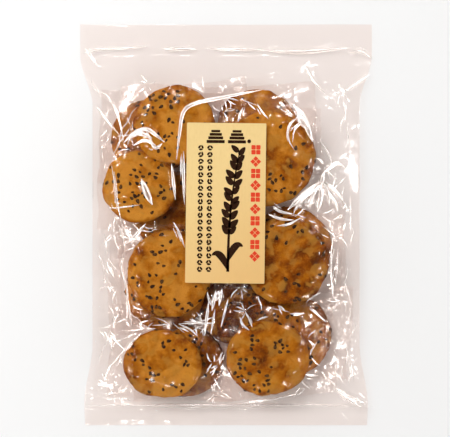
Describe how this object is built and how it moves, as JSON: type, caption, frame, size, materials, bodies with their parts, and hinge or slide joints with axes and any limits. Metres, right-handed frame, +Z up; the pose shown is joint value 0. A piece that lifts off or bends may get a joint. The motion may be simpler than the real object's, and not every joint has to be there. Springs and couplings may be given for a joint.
{
  "type": "sealed bag of rice crackers",
  "caption": "Clear sealed bag of individually wrapped round sesame rice crackers with a plain paper label, lying on its back.",
  "frame": {"origin": "on the table, under the middle of the bag", "axes": "+Z up through the label, +Y along the bag towards its header, +X to the right of someone looking down at the label"},
  "size_m": [0.192, 0.264, 0.031],
  "materials": {
    "film": "clear glossy film over golden brown crackers",
    "paper": "matt straw-coloured card",
    "cracker": "baked rice cracker, soy glazed",
    "sesame": "black sesame seed",
    "ink": "dark printed shapes",
    "red_ink": "red printed shapes"
  },
  "bodies": {
    "root": {"bag": "film", "label": "paper"}
  },
  "joints": []
}
